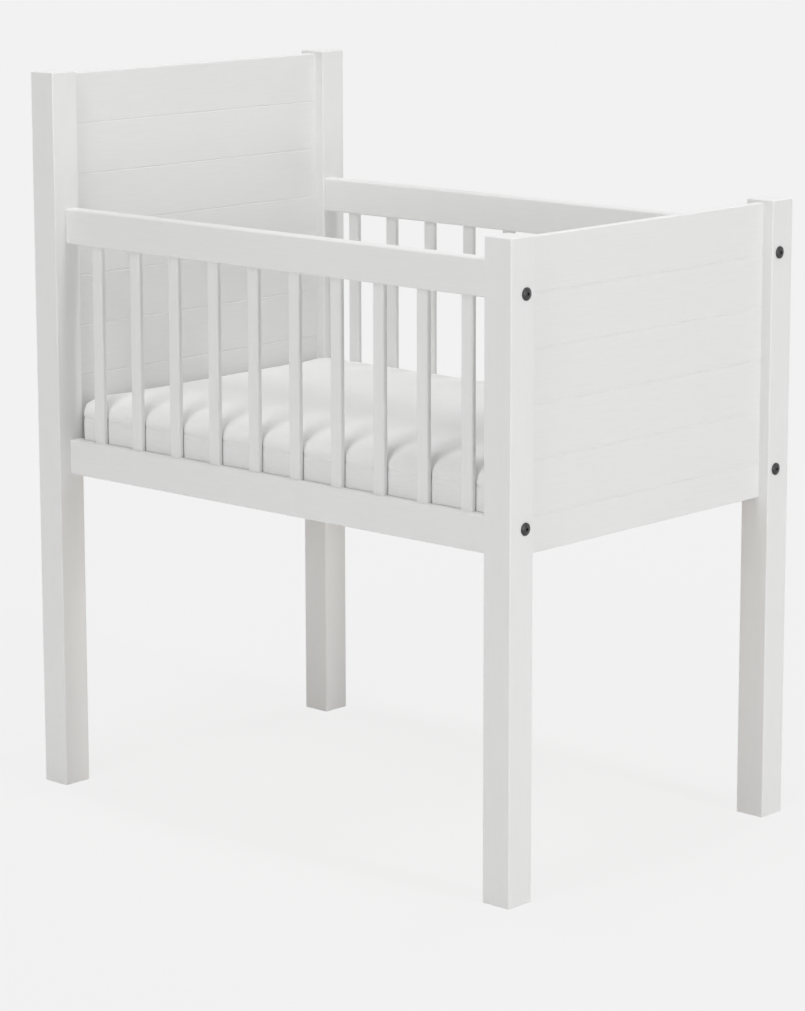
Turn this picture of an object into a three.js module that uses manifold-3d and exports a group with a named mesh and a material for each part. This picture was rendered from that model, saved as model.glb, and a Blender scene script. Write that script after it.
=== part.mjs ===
// A child's cradle on four tall posts: two panelled ends, two slatted sides, a slatted base and a mattress.
// Millimetres, +Z up. The origin is on the floor under the middle, the head end at -X, the near side at -Y.
import * as THREE from "three";
import { mergeVertices, toCreasedNormals } from "three/addons/utils/BufferGeometryUtils.js";
import Module from "manifold-3d";

// The whole cradle
const outer_length = 890;
const outer_width = 590;
const seat_gap = 0.3; // left between two pieces that touch
const overrun = 5; // how far a cutting tool runs past the face that it opens

// The four posts
const post_side = 45;
const head_post_height = 1030;
const foot_post_height = 870;
const post_edge_radius = 2.5;
const post_end_rounding = 2;

// The end panels: boards with a V groove at each joint, held in stopped grooves in the posts
const panel_thickness = 12;
const panel_tongue = 8; // how deep a panel stands in each post
const panel_below_post_top = 4;
const panel_arris = 1.5;
const board_height = 72;
const least_board_share = 1 / 3; // of a board, the least that is left at the bottom of a panel
const v_groove_width = 2.4;
const v_groove_depth = 1.2;

// The side rails
const rail_height = 50;
const rail_thickness = 22;
const rail_inset = 21; // from the posts' outer face to the rail's outer face
const rail_edge_radius = 3;
const low_rail_bottom = 457;
const top_rail_below_foot_post = 32; // from the foot posts' tops down to the top rails
const tenon_length = 8;
const tenon_thickness = 12;
const tenon_height = 22;
const tenon_shoulder = 8; // from the rail's outer edge to the tenon

// The upright slats between the rails of one side
const slat_count = 10;
const slat_width = 20;
const slat_thickness = 9;
const slat_edge_radius = 4;
const slat_end_distance = 53.5; // from a post to the middle of the nearest slat
const slat_socket_depth = 12;

// The bolts that hold the sides to the ends, and the threaded inserts in the rails' ends
const bolt_diameter = 6;
const bolt_length = 70;
const bolt_point_chamfer = 0.8;
const bolt_head_diameter = 17;
const bolt_head_rim = 1.2;
const bolt_head_height = 3.6;
const bolt_socket_width = 4; // across the flats of the hexagon
const bolt_socket_depth = 2.4;
const bolt_hole_diameter = 7;
const bolt_hole_end_room = 3; // beyond the bolt's point
const bolt_inset = 29; // from the posts' outer side face
const bolt_edge_distance = 10; // from the rail's slatted edge
const insert_diameter = 10;
const insert_length = 18;
const insert_chamfer = 0.8;

// The base that carries the mattress
const base_top = 495;
const base_slat_count = 8;
const base_slat_width = 60;
const base_slat_thickness = 12;
const base_slat_edge_radius = 2;
const base_slat_end_distance = 45; // from a post to the middle of the nearest slat
const base_slat_side_room = 2;
const ledge_thickness = 18;
const ledge_height = 20;
const ledge_edge_radius = 2;
const ledge_end_room = 1;

// The mattress
const mattress_room = 1; // from the low rails to the mattress
const mattress_end_bulge = 8; // past the posts' inner faces, towards the panels
const mattress_side_height = 58; // from the base to the shoulder, where the crown starts
const mattress_crown = 26;
const mattress_corner_radius = 32;
const mattress_bottom_radius = 11;
const corner_draw_share = 0.75; // of the corner radius, how far rings are drawn in before they shrink
const mattress_rise = 6; // above the rails, over which it swells out to the slats
const mattress_end_draw = 3; // how far the middle of each end is drawn in
const mattress_bulge = 4; // how far it swells out between two slats
const seam_height = 46;
const seam_depth = 1.6;
const seam_width = 6;
const crown_exponent = 0.4; // the lower, the flatter the top
const crown_insets_shares = [0.012, 0.035, 0.09, 0.2, 0.42, 0.7]; // of the mattress's half width
const bulge_fading_shares = [1, 0.9, 0.6, 0.15, 0, 0]; // what is left of the bulge on each of those rings

// How finely round forms are divided
const corner_steps = 3;
const end_rounding_steps = 2;
const bolt_sides = 18;
const dome_steps = 4;
const hole_sides = 16;
const hexagon_sides = 6;
const crease_angle = Math.PI / 5; // faces that meet more sharply are shaded apart
const mattress_corner_steps = 3;
const mattress_end_steps = 5;
const mattress_edge_steps = 2;
const mattress_bulge_steps = 2;

// Places that follow from the sizes
const clear_length = outer_length - 2 * post_side;
const clear_width = outer_width - 2 * post_side;
const low_rail_top = low_rail_bottom + rail_height;
const top_rail_top = foot_post_height - top_rail_below_foot_post;
const top_rail_bottom = top_rail_top - rail_height;
const rail_middle_inset = rail_inset + rail_thickness / 2;
const rail_middle_y = outer_width / 2 - rail_middle_inset;
const rail_inner_y = outer_width / 2 - rail_inset - rail_thickness;
const post_x = (outer_length - post_side) / 2;
const post_y = (outer_width - post_side) / 2;
const panel_bottom = low_rail_bottom;
const bolt_y = outer_width / 2 - bolt_inset;
const slat_pitch = (clear_length - 2 * slat_end_distance) / (slat_count - 1);
const base_slat_pitch = (clear_length - 2 * base_slat_end_distance) / (base_slat_count - 1);
const HEAD = -1;
const FOOT = 1;
const NEAR = -1;
const FAR = 1;
const TOP = 1;
const LOW = -1;
const end_names = { [HEAD]: "head", [FOOT]: "foot" };
const side_names = { [NEAR]: "near", [FAR]: "far" };
const level_names = { [TOP]: "top", [LOW]: "low" };

const wasm = await Module();
wasm.setup();

// Finishes, as the photograph shows them
const white_paint = { color: 0xe9e9e7, roughness: 0.45, metalness: 0 };
const black_steel = { color: 0x1c1c1d, roughness: 0.4, metalness: 0.6 };
const zinc_steel = { color: 0xb4b6b8, roughness: 0.35, metalness: 0.9 };
const bare_pine = { color: 0xd9c19a, roughness: 0.7, metalness: 0 };
const white_cotton = { color: 0xf1f1ef, roughness: 0.95, metalness: 0 };

function toSolid(geometry) {
  const shell = geometry.clone();
  shell.deleteAttribute("normal");
  shell.deleteAttribute("uv");
  const merged = mergeVertices(shell);
  return new wasm.Manifold(
    new wasm.Mesh({
      numProp: 3,
      vertProperties: merged.attributes.position.array,
      triVerts: new Uint32Array(merged.index.array),
    }),
  );
}

function toGeometry(solid) {
  const mesh = solid.getMesh();
  const geometry = new THREE.BufferGeometry();
  geometry.setAttribute("position", new THREE.BufferAttribute(new Float32Array(mesh.vertProperties), 3));
  geometry.setIndex(new THREE.BufferAttribute(new Uint32Array(mesh.triVerts), 1));
  return toCreasedNormals(geometry, crease_angle);
}

function piece(name, geometry, finish) {
  const mesh = new THREE.Mesh(geometry, new THREE.MeshStandardMaterial(finish));
  mesh.name = name;
  return mesh;
}

// The corner points of a rectangle with rounded corners, centred on zero, anticlockwise.
function roundedRectangle(width, height, radius) {
  const points = [];
  for (let corner = 0; corner < 4; corner += 1) {
    const centre_x = (corner === 0 || corner === 3 ? 1 : -1) * (width / 2 - radius);
    const centre_y = (corner < 2 ? 1 : -1) * (height / 2 - radius);
    for (let step = 0; step <= corner_steps; step += 1) {
      const angle = ((corner + step / corner_steps) * Math.PI) / 2;
      const x = centre_x + radius * Math.cos(angle);
      const y = centre_y + radius * Math.sin(angle);
      points.push(new THREE.Vector2(x, y));
    }
  }
  return points;
}

// A bar of one section that stands on z = 0, with its ends rounded over where a rounding is given.
function uprightBar(outline, length, rounding = 0) {
  const bar = new THREE.ExtrudeGeometry(new THREE.Shape(outline), {
    depth: length - 2 * rounding,
    bevelEnabled: rounding > 0,
    bevelThickness: rounding,
    bevelSize: rounding,
    bevelOffset: -rounding,
    bevelSegments: end_rounding_steps,
  });
  return bar.translate(0, 0, rounding);
}

// A bar along X, centred on zero, of an outline drawn in Y and Z.
function barAlongX(outline, length) {
  const bar = uprightBar(outline, length);
  bar.translate(0, 0, -length / 2);
  return bar.rotateX(Math.PI / 2).rotateZ(Math.PI / 2);
}

// A bar along Y, centred on zero, of an outline drawn in X and Z.
function barAlongY(outline, length) {
  const bar = uprightBar(outline, length);
  bar.translate(0, 0, -length / 2);
  return bar.rotateX(Math.PI / 2);
}

function blockBetween(low, high) {
  const size = high.map((value, axis) => Math.abs(value - low[axis]));
  const block = new THREE.BoxGeometry(...size);
  return toSolid(block.translate(...high.map((value, axis) => (value + low[axis]) / 2)));
}

// A round cutting tool along X.
function drillAlongX(from_x, to_x, y, z, diameter) {
  const drill = new THREE.CylinderGeometry(diameter / 2, diameter / 2, Math.abs(to_x - from_x), hole_sides);
  drill.rotateZ(Math.PI / 2);
  return toSolid(drill.translate((from_x + to_x) / 2, y, z));
}

// Heights that belong to one rail: level is TOP or LOW, and the two rails mirror each other.
function railMiddle(level) {
  return level === TOP ? top_rail_top - rail_height / 2 : low_rail_bottom + rail_height / 2;
}

function boltHeight(level) {
  return railMiddle(level) - level * (rail_height / 2 - bolt_edge_distance);
}

function tenonMiddle(level) {
  return railMiddle(level) + level * (rail_height / 2 - tenon_shoulder - tenon_height / 2);
}

function slatX(index) {
  return (index - (slat_count - 1) / 2) * slat_pitch;
}

// A post with the stopped groove for its panel, the mortises for two rails and the two bolt holes.
function postGeometry(end, side) {
  const height = end === HEAD ? head_post_height : foot_post_height;
  const half = post_side / 2;
  const panel_top = height - panel_below_post_top;
  let post = toSolid(
    uprightBar(roundedRectangle(post_side, post_side, post_edge_radius), height, post_end_rounding),
  );
  const groove_half = panel_thickness / 2 + seat_gap;
  post = post.subtract(
    blockBetween(
      [-groove_half, -side * (half - panel_tongue), panel_bottom - seat_gap],
      [groove_half, -side * (half + overrun), panel_top + seat_gap],
    ),
  );
  const tenon_y = side * (half - rail_middle_inset);
  const mortise_half = tenon_thickness / 2 + seat_gap;
  const mortise_half_height = tenon_height / 2 + seat_gap;
  for (const level of [TOP, LOW]) {
    const tenon_z = tenonMiddle(level);
    post = post.subtract(
      blockBetween(
        [-end * (half + overrun), tenon_y - mortise_half, tenon_z - mortise_half_height],
        [-end * (half - tenon_length), tenon_y + mortise_half, tenon_z + mortise_half_height],
      ),
    );
    post = post.subtract(
      drillAlongX(
        -(half + overrun),
        half + overrun,
        side * (half - bolt_inset),
        boltHeight(level),
        bolt_hole_diameter,
      ),
    );
  }
  return toGeometry(post);
}

// A panel's section: two faces with a V groove at each board joint, and small chamfers at the long edges.
function panelOutline(height) {
  const half = panel_thickness / 2;
  const joints = [];
  for (let z = height - board_height; z > board_height * least_board_share; z -= board_height) {
    joints.push(z);
  }
  const front = [];
  front.push([half - panel_arris, 0], [half, panel_arris]);
  for (const z of [...joints].reverse()) {
    front.push([half, z - v_groove_width / 2], [half - v_groove_depth, z], [half, z + v_groove_width / 2]);
  }
  front.push([half, height - panel_arris], [half - panel_arris, height]);
  const back = [...front].reverse().map(([x, z]) => [-x, z]);
  return [...front, ...back].map(([x, z]) => new THREE.Vector2(x, z));
}

function panelGeometry(end) {
  const post_height = end === HEAD ? head_post_height : foot_post_height;
  const height = post_height - panel_below_post_top - panel_bottom;
  const length = clear_width + 2 * (panel_tongue - seat_gap);
  return barAlongY(panelOutline(height), length);
}

// A rail with a stub tenon at each end, the slats' sockets, and the holes for the inserts and bolts.
function railGeometry(side, level) {
  const length = clear_length - 2 * seat_gap;
  const half_height = rail_height / 2;
  let rail = toSolid(barAlongX(roundedRectangle(rail_thickness, rail_height, rail_edge_radius), length));
  const tenon_z = tenonMiddle(level) - railMiddle(level);
  rail = rail.add(
    blockBetween(
      [-(length / 2 + tenon_length), -tenon_thickness / 2, tenon_z - tenon_height / 2],
      [length / 2 + tenon_length, tenon_thickness / 2, tenon_z + tenon_height / 2],
    ),
  );
  const socket = roundedRectangle(
    slat_width + 2 * seat_gap,
    slat_thickness + 2 * seat_gap,
    slat_edge_radius + seat_gap,
  );
  for (let index = 0; index < slat_count; index += 1) {
    const tool = uprightBar(socket, slat_socket_depth + overrun);
    const tool_z = level === TOP ? -half_height - overrun : half_height - slat_socket_depth;
    rail = rail.subtract(toSolid(tool.translate(slatX(index), 0, tool_z)));
  }
  const hole_y = side * (rail_middle_inset - bolt_inset);
  const hole_z = boltHeight(level) - railMiddle(level);
  const outside = length / 2 + tenon_length + overrun;
  const hole_floor = clear_length / 2 - (bolt_length - post_side) - bolt_hole_end_room;
  const insert_floor = length / 2 - insert_length - seat_gap;
  const insert_hole = insert_diameter + 2 * seat_gap;
  for (const end of [HEAD, FOOT]) {
    rail = rail.subtract(drillAlongX(end * outside, end * hole_floor, hole_y, hole_z, bolt_hole_diameter));
    rail = rail.subtract(drillAlongX(end * outside, end * insert_floor, hole_y, hole_z, insert_hole));
  }
  return toGeometry(rail);
}

function slatGeometry() {
  const length = top_rail_bottom - low_rail_top + 2 * (slat_socket_depth - seat_gap);
  return uprightBar(roundedRectangle(slat_width, slat_thickness, slat_edge_radius), length);
}

// A bolt with a low domed head and a hexagon socket. It points along -X with the head's seat at x = 0.
function boltGeometry() {
  const shank = bolt_diameter / 2;
  const head = bolt_head_diameter / 2;
  const rise = bolt_head_height - bolt_head_rim;
  const ball = (head * head + rise * rise) / (2 * rise);
  const reach = Math.asin(head / ball);
  const profile = [
    new THREE.Vector2(0, -bolt_length),
    new THREE.Vector2(shank - bolt_point_chamfer, -bolt_length),
    new THREE.Vector2(shank, -bolt_length + bolt_point_chamfer),
    new THREE.Vector2(shank, 0),
    new THREE.Vector2(head, 0),
  ];
  for (let step = 0; step <= dome_steps; step += 1) {
    const angle = reach * (1 - step / dome_steps);
    const y = bolt_head_height - ball * (1 - Math.cos(angle));
    profile.push(new THREE.Vector2(ball * Math.sin(angle), y));
  }
  const turned = toSolid(new THREE.LatheGeometry(profile, bolt_sides));
  const socket_radius = bolt_socket_width / Math.sqrt(3);
  const socket_length = bolt_socket_depth + overrun;
  const socket = new THREE.CylinderGeometry(socket_radius, socket_radius, socket_length, hexagon_sides);
  socket.translate(0, bolt_head_height + (overrun - bolt_socket_depth) / 2, 0);
  return toGeometry(turned.subtract(toSolid(socket))).rotateZ(-Math.PI / 2);
}

// A threaded insert along X, centred on zero: a sleeve round the bolt, chamfered at both ends.
function insertGeometry() {
  const inner = bolt_diameter / 2 + seat_gap;
  const outer = insert_diameter / 2;
  const half = insert_length / 2;
  const profile = [
    new THREE.Vector2(inner, -half),
    new THREE.Vector2(outer - insert_chamfer, -half),
    new THREE.Vector2(outer, -half + insert_chamfer),
    new THREE.Vector2(outer, half - insert_chamfer),
    new THREE.Vector2(outer - insert_chamfer, half),
    new THREE.Vector2(inner, half),
    new THREE.Vector2(inner, -half),
  ];
  return new THREE.LatheGeometry(profile, hole_sides).rotateZ(-Math.PI / 2);
}

function ledgeGeometry() {
  const length = clear_length - 2 * ledge_end_room;
  return barAlongX(roundedRectangle(ledge_thickness, ledge_height, ledge_edge_radius), length);
}

function baseSlatGeometry() {
  const length = 2 * (rail_inner_y - base_slat_side_room);
  return barAlongY(roundedRectangle(base_slat_width, base_slat_thickness, base_slat_edge_radius), length);
}

// The mattress in plan, anticlockwise from the near side. Each point has its place, its outward direction and
// its swelling: none where it lies against a slat, and most half-way to the next one.
function mattressPlan(half_length, half_width) {
  const straight_x = half_length - mattress_corner_radius;
  const straight_y = half_width - mattress_corner_radius;
  const plan = [];
  const addCorner = (sign_x, sign_y, start) => {
    for (let step = 0; step <= mattress_corner_steps; step += 1) {
      const angle = start + ((step / mattress_corner_steps) * Math.PI) / 2;
      const out = new THREE.Vector2(Math.cos(angle), Math.sin(angle));
      const middle = new THREE.Vector2(sign_x * straight_x, sign_y * straight_y);
      plan.push({ place: middle.addScaledVector(out, mattress_corner_radius), out, swell: 0 });
    }
  };
  const addLongSide = (sign) => {
    const out = new THREE.Vector2(0, sign);
    const gap = slat_pitch - slat_width;
    for (let index = 0; index < slat_count; index += 1) {
      const slat_end = slatX(index) + slat_width / 2;
      const start = new THREE.Vector2(-sign * (slat_end - slat_width), sign * half_width);
      plan.push({ place: start, out, swell: 0 });
      const last = index === slat_count - 1;
      for (let step = 0; step <= (last ? 0 : mattress_bulge_steps - 1); step += 1) {
        const share = step / mattress_bulge_steps;
        const place = new THREE.Vector2(-sign * (slat_end + gap * share), sign * half_width);
        plan.push({ place, out, swell: mattress_bulge * Math.sin(Math.PI * share) });
      }
    }
  };
  const addEnd = (sign) => {
    for (let step = 1; step < mattress_end_steps; step += 1) {
      const share = (2 * step) / mattress_end_steps - 1;
      plan.push({
        place: new THREE.Vector2(sign * half_length, sign * straight_y * share),
        out: new THREE.Vector2(sign, 0),
        swell: -mattress_end_draw * (1 - share * share),
      });
    }
  };
  addLongSide(NEAR);
  addCorner(1, NEAR, -Math.PI / 2);
  addEnd(1);
  addCorner(1, FAR, 0);
  addLongSide(FAR);
  addCorner(-1, FAR, Math.PI / 2);
  addEnd(-1);
  addCorner(-1, NEAR, Math.PI);
  return plan;
}

// The rings that the mattress is stacked from, each with its height, how far it lies in from the widest
// outline, and its share of the swelling between the slats.
function mattressRings(half_width) {
  const held_in = half_width - (rail_inner_y - mattress_room);
  const rail_top = low_rail_top - base_top - seat_gap;
  const rings = [];
  for (let step = 0; step <= mattress_edge_steps; step += 1) {
    const angle = ((step / mattress_edge_steps) * Math.PI) / 2;
    const inset = held_in + mattress_bottom_radius * (1 - Math.sin(angle));
    rings.push({ inset, z: mattress_bottom_radius * (1 - Math.cos(angle)), swell: 0 });
  }
  rings.push({ inset: 0, z: rail_top + mattress_rise, swell: 1 });
  rings.push({ inset: 0, z: seam_height - seam_width / 2, swell: 1 });
  rings.push({ inset: seam_depth, z: seam_height, swell: 1 });
  rings.push({ inset: 0, z: seam_height + seam_width / 2, swell: 1 });
  rings.push({ inset: 0, z: mattress_side_height, swell: 1 });
  crown_insets_shares.forEach((share, index) => {
    const rise = (1 - (1 - share) ** 2) ** crown_exponent;
    rings.push({
      inset: share * half_width,
      z: mattress_side_height + mattress_crown * rise,
      swell: bulge_fading_shares[index],
    });
  });
  return rings;
}

// The mattress: its rounded bottom edge is held between the rails, and its sides swell out over them to the
// slats and bulge a little between each two. It has a sewn seam round the side, and a crown.
function mattressGeometry() {
  const half_length = clear_length / 2 + mattress_end_bulge;
  const half_width = rail_middle_y - slat_thickness / 2 - seat_gap;
  const plan = mattressPlan(half_length, half_width);
  const rings = mattressRings(half_width);
  const positions = [0, 0, 0];
  for (const ring of rings) {
    for (const { place, out, swell } of plan) {
      // Past most of the corners' radius a ring shrinks towards the middle line, so that no two points cross.
      const moved = Math.min(ring.inset, mattress_corner_radius * corner_draw_share);
      const rest = (ring.inset - moved) / (half_width - moved);
      const push = swell * ring.swell - moved;
      positions.push(
        (place.x + out.x * push) * (1 - (rest * half_width) / half_length),
        (place.y + out.y * push) * (1 - rest),
        ring.z,
      );
    }
  }
  positions.push(0, 0, mattress_side_height + mattress_crown);

  const triangles = [];
  const around = plan.length;
  const at = (ring, point) => 1 + ring * around + (point % around);
  const last = positions.length / 3 - 1;
  for (let point = 0; point < around; point += 1) {
    triangles.push(0, at(0, point + 1), at(0, point));
    for (let ring = 0; ring < rings.length - 1; ring += 1) {
      triangles.push(at(ring, point), at(ring, point + 1), at(ring + 1, point + 1));
      triangles.push(at(ring, point), at(ring + 1, point + 1), at(ring + 1, point));
    }
    triangles.push(at(rings.length - 1, point), at(rings.length - 1, point + 1), last);
  }
  const geometry = new THREE.BufferGeometry();
  geometry.setAttribute("position", new THREE.BufferAttribute(new Float32Array(positions), 3));
  geometry.setIndex(triangles);
  geometry.computeVertexNormals();
  return geometry;
}

// One end: two posts and the panel between them.
function endFrame(end) {
  const group = new THREE.Group();
  for (const side of [NEAR, FAR]) {
    const post = piece(`post_${end_names[end]}_${side_names[side]}`, postGeometry(end, side), white_paint);
    post.position.set(0, side * post_y, 0);
    group.add(post);
  }
  const panel = piece(`${end_names[end]}_panel`, panelGeometry(end), white_paint);
  panel.position.z = panel_bottom;
  group.add(panel);
  group.position.x = end * post_x;
  return group;
}

// One side: two rails and the slats between them.
function sideFrame(side) {
  const group = new THREE.Group();
  for (const level of [TOP, LOW]) {
    const name = `${level_names[level]}_rail_${side_names[side]}`;
    const rail = piece(name, railGeometry(side, level), white_paint);
    rail.position.z = railMiddle(level);
    group.add(rail);
  }
  for (let index = 0; index < slat_count; index += 1) {
    const number = String(index + 1).padStart(2, "0");
    const slat = piece(`slat_${side_names[side]}_${number}`, slatGeometry(), white_paint);
    slat.position.set(slatX(index), 0, low_rail_top - slat_socket_depth + seat_gap);
    group.add(slat);
  }
  group.position.y = side * rail_middle_y;
  return group;
}

// The bolts through the posts, each with its insert in the rail's end.
function fasteners() {
  const group = new THREE.Group();
  for (const end of [HEAD, FOOT]) {
    for (const side of [NEAR, FAR]) {
      for (const level of [TOP, LOW]) {
        const place = `${end_names[end]}_${side_names[side]}_${level_names[level]}`;
        const bolt = piece(`bolt_${place}`, boltGeometry(), black_steel);
        bolt.position.set(end * (outer_length / 2 + seat_gap), side * bolt_y, boltHeight(level));
        bolt.rotation.z = end === HEAD ? Math.PI : 0;
        const insert = piece(`insert_${place}`, insertGeometry(), zinc_steel);
        const insert_x = clear_length / 2 - seat_gap - insert_length / 2;
        insert.position.set(end * insert_x, side * bolt_y, boltHeight(level));
        group.add(bolt, insert);
      }
    }
  }
  return group;
}

// The ledges along the low rails and the slats across them.
function base() {
  const group = new THREE.Group();
  const ledge_top = base_top - base_slat_thickness - seat_gap;
  for (const side of [NEAR, FAR]) {
    const ledge = piece(`ledge_${side_names[side]}`, ledgeGeometry(), bare_pine);
    ledge.position.set(
      0,
      side * (rail_inner_y - seat_gap - ledge_thickness / 2),
      ledge_top - ledge_height / 2,
    );
    group.add(ledge);
  }
  for (let index = 0; index < base_slat_count; index += 1) {
    const slat = piece(`base_slat_${index + 1}`, baseSlatGeometry(), bare_pine);
    const x = (index - (base_slat_count - 1) / 2) * base_slat_pitch;
    slat.position.set(x, 0, base_top - base_slat_thickness / 2);
    group.add(slat);
  }
  return group;
}

const cradle = new THREE.Group();
cradle.add(endFrame(HEAD), endFrame(FOOT), sideFrame(NEAR), sideFrame(FAR), base(), fasteners());
const mattress = piece("mattress", mattressGeometry(), white_cotton);
mattress.position.z = base_top + seat_gap;
cradle.add(mattress);

export default cradle;
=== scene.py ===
"""A white cradle on four posts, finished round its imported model.

Metres, +Z up, head end at -X, near side at -Y.
"""
import math

import bpy
import numpy as np
from mathutils import Matrix, Vector


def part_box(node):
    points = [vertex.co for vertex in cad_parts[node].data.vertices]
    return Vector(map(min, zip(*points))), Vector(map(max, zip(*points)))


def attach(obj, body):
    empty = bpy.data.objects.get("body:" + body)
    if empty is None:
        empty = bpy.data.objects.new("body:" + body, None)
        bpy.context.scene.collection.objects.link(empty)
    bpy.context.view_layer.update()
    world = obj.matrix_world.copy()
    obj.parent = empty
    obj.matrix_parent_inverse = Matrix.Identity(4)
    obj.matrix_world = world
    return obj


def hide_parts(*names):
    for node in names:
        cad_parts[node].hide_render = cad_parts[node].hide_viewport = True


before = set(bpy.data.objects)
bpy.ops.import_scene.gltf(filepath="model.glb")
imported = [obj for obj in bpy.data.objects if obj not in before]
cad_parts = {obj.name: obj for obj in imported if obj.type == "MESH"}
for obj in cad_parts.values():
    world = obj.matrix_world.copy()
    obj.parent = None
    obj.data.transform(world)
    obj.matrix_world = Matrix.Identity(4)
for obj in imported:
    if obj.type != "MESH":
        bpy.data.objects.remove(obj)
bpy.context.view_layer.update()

MM = 0.001
SAME = 1e-6        # two places nearer than this are one
TINY = 1e-9        # the least length that is divided by
LEVEL = 0.99       # what faces further up or down than this lies level
LONG_EDGE = 0.1    # only the edges along a post, rail or slat are longer
ROOT = "root"
SIDES = ("near", "far")
ENDS = ("head", "foot")
SMOOTH_ANGLE = 40  # degrees; sharper edges than this stay sharp

# The photograph's view, from a camera fitted to the edges and corners that it shows
CAMERA_PLACE = (3.2086, -3.5146, 1.4169)
CAMERA_AZIMUTH = 41.96
CAMERA_ELEVATION = 10.77
CAMERA_LENS = 122.5
CAMERA_SHIFT = (-0.030, -0.060)
CAMERA_SENSOR = 36.0
CAMERA_REACH = 200

# The studio
BACKGROUND = (0.887, 0.887, 0.887, 1.0)
AMBIENT = 0.24
FLOOR_COLOUR = (0.88, 0.88, 0.88, 1.0)
FLOOR_RADIUS = 40.0
FLOOR_SIDES = 128
FLOOR_SHADOW = 0.10              # how much of the cradle's shadow shows
FLOOR_SHADOW_REACH = (0.9, 2.6)  # how far from the middle it starts to fade, and is gone
LAMPS_LOOK_AT = (0, 0, 0.6)
# Broad lamps in front, above and behind, and at the foot end two narrow ones in line with the
# sides, which leave the slats' edges dark as the photograph shows them.
# Each has its name, its place, its width and height, and its power.
LAMPS = (
    ("front_lamp", (0.9, -4.3, 1.6), 2.8, 1.5, 37),
    ("front_high_lamp", (0.5, -2.9, 4.05), 1.5, 1.5, 42),
    ("top_lamp", (0.1, 0.0, 5.1), 1.5, 1.5, 42),
    ("foot_low_lamp", (5.48, 0.0, 1.08), 0.4, 1.2, 66),
    ("foot_high_lamp", (3.54, 0.0, 4.81), 0.4, 1.5, 62),
    ("head_lamp", (-3.9, 0.0, 2.4), 1.5, 1.5, 48),
    ("back_lamp", (0.0, 3.9, 2.6), 1.5, 1.5, 46),
)

# The painted wood
POST_EDGE = 1.6 * MM
POST_END = 1.5 * MM
RAIL_EDGE = 3 * MM
SLAT_EDGE = 3.2 * MM
EDGE_STEPS = 5
END_STEPS = 3
PANEL_ARRIS = 1.5 * MM
BOARD = 72 * MM
LEAST_BOARD = BOARD / 3  # a panel's lowest board is at least this high
V_HALF = 1.2 * MM
V_DEPTH = 0.9 * MM
V_SOFTENING = 0.5 * MM
V_ANGLE = 30             # degrees; the panels' blunter edges aren't softened
JOINT_BITE = 1 * MM      # how far a painted piece stands in its neighbour, as it does in its socket

# The bolts
HEAD_RIM = 1.2 * MM
HEAD_RISE = 2.4 * MM
HEAD_RADIUS = 8.5 * MM
HEAD_STEPS = 7
HEAD_SIDES = 48
SOCKET_FLATS = 4 * MM
SOCKET_DEPTH = 2.4 * MM
SOCKET_MOUTH = 1.28       # the round mouth's radius, to half of the flats
LAST_RING = 1.15          # the dome's last ring is at least this much wider than the mouth
MOUTH_LIP = 0.06          # the lip between the mouth and the hexagon, to the mouth's radius
SHANK_RADIUS = 3 * MM
SHANK_CHAMFER = 0.8 * MM
BOLT_SOFTENING = 0.25 * MM
BOLT_SOFTENED_ANGLE = 40  # degrees; sharper edges than this are softened
BOLT_SMOOTH_ANGLE = 35

# The mattress. Heights and insets are taken from the base and from the slats' inner faces.
MATTRESS_VOXEL = 5 * MM
MATTRESS_SLACK = 3 * MM             # what the filling takes up
MATTRESS_CAP = 2.5 * MM             # and the most that it may move the cover
FILLING = {
    "quality": 6,
    "mass": 0.3,
    "tension_stiffness": 15,
    "compression_stiffness": 15,
    "bending_stiffness": 2.0,
    "use_pressure": True,
    "uniform_pressure_force": 4,
}
FILLING_FRAMES = 20
CORNER_RADIUS = 7 * MM
CORNER_INSET = CORNER_RADIUS * 0.8  # the plan shrinks evenly to here, then in proportion
CORNER_END = CORNER_RADIUS * 0.6    # how far in from the posts the slats' hold starts,
CORNER_FADE = 14 * MM               # and over which length
PLAN_STEPS = (60, 36, 8)            # along a side, across an end and round a corner
BOTTOM_RADIUS = 9 * MM
BOTTOM_STEPS = 4
SIDE_HEIGHT = 58 * MM
CROWN = 26 * MM
CROWN_POWER = 0.4
CROWN_POINTS = (0.004, 0.012, 0.03, 0.06, 0.11, 0.18, 0.28, 0.42, 0.6, 0.8)  # of the half width
RAIL_ROOM = 0.3 * MM
RAIL_TURN_STEPS = 6
RISE_OVER_RAIL = 3 * MM             # of the unpressed height, what goes to the way over the rail
LEDGE_ROW = 1.6 * MM                # and what goes to the line where the side leaves the rail
LEDGE_FADE = 9 * MM
SLAT_GAP = 0.3 * MM                 # from the slats to the plane that the insets are taken from,
SLAT_ROOM = 0.2 * MM                # and from that plane to the pressed side
SIDE_FACING = 0.35                  # the side is what faces this far sideways,
SIDE_DEPTH = 16 * MM                # no deeper in than this
END_ROOM = 0.6 * MM                 # from the posts' inner faces to the mattress's corners
SHOULDER = (48 * MM, 64 * MM)       # between these heights the side turns into the top
BULGE = 3.6 * MM
BULGE_POWER = 6                     # the higher, the squarer between the slats
BULGE_ROUNDNESS = 4                 # the same from the rail to the shoulder,
BULGE_PAST = 6 * MM                 # and how far past the shoulder it would end
END_BULGE = 13 * MM                 # past the posts, towards the panels
END_REACH = 60 * MM                 # how far in from each end that swelling starts
POST_ZONE = (34 * MM, 3 * MM)       # how far from the posts it fades, and is gone
TOP_BULGE = 1.2 * MM
VALLEY_DEPTH = 1.2 * MM
VALLEY_WIDTH = 3.2 * MM
VALLEY_REACH = 42 * MM
SEAM_HEIGHT = 46 * MM
SEAM_SAG = 3 * MM                   # how far the seam drops between two slats
SEAM_DEPTH = 1.2 * MM
SEAM_WIDTH = 1.8 * MM
SEAM_FACING = 0.8                   # it runs only where the cover faces less up or down than this
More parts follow.
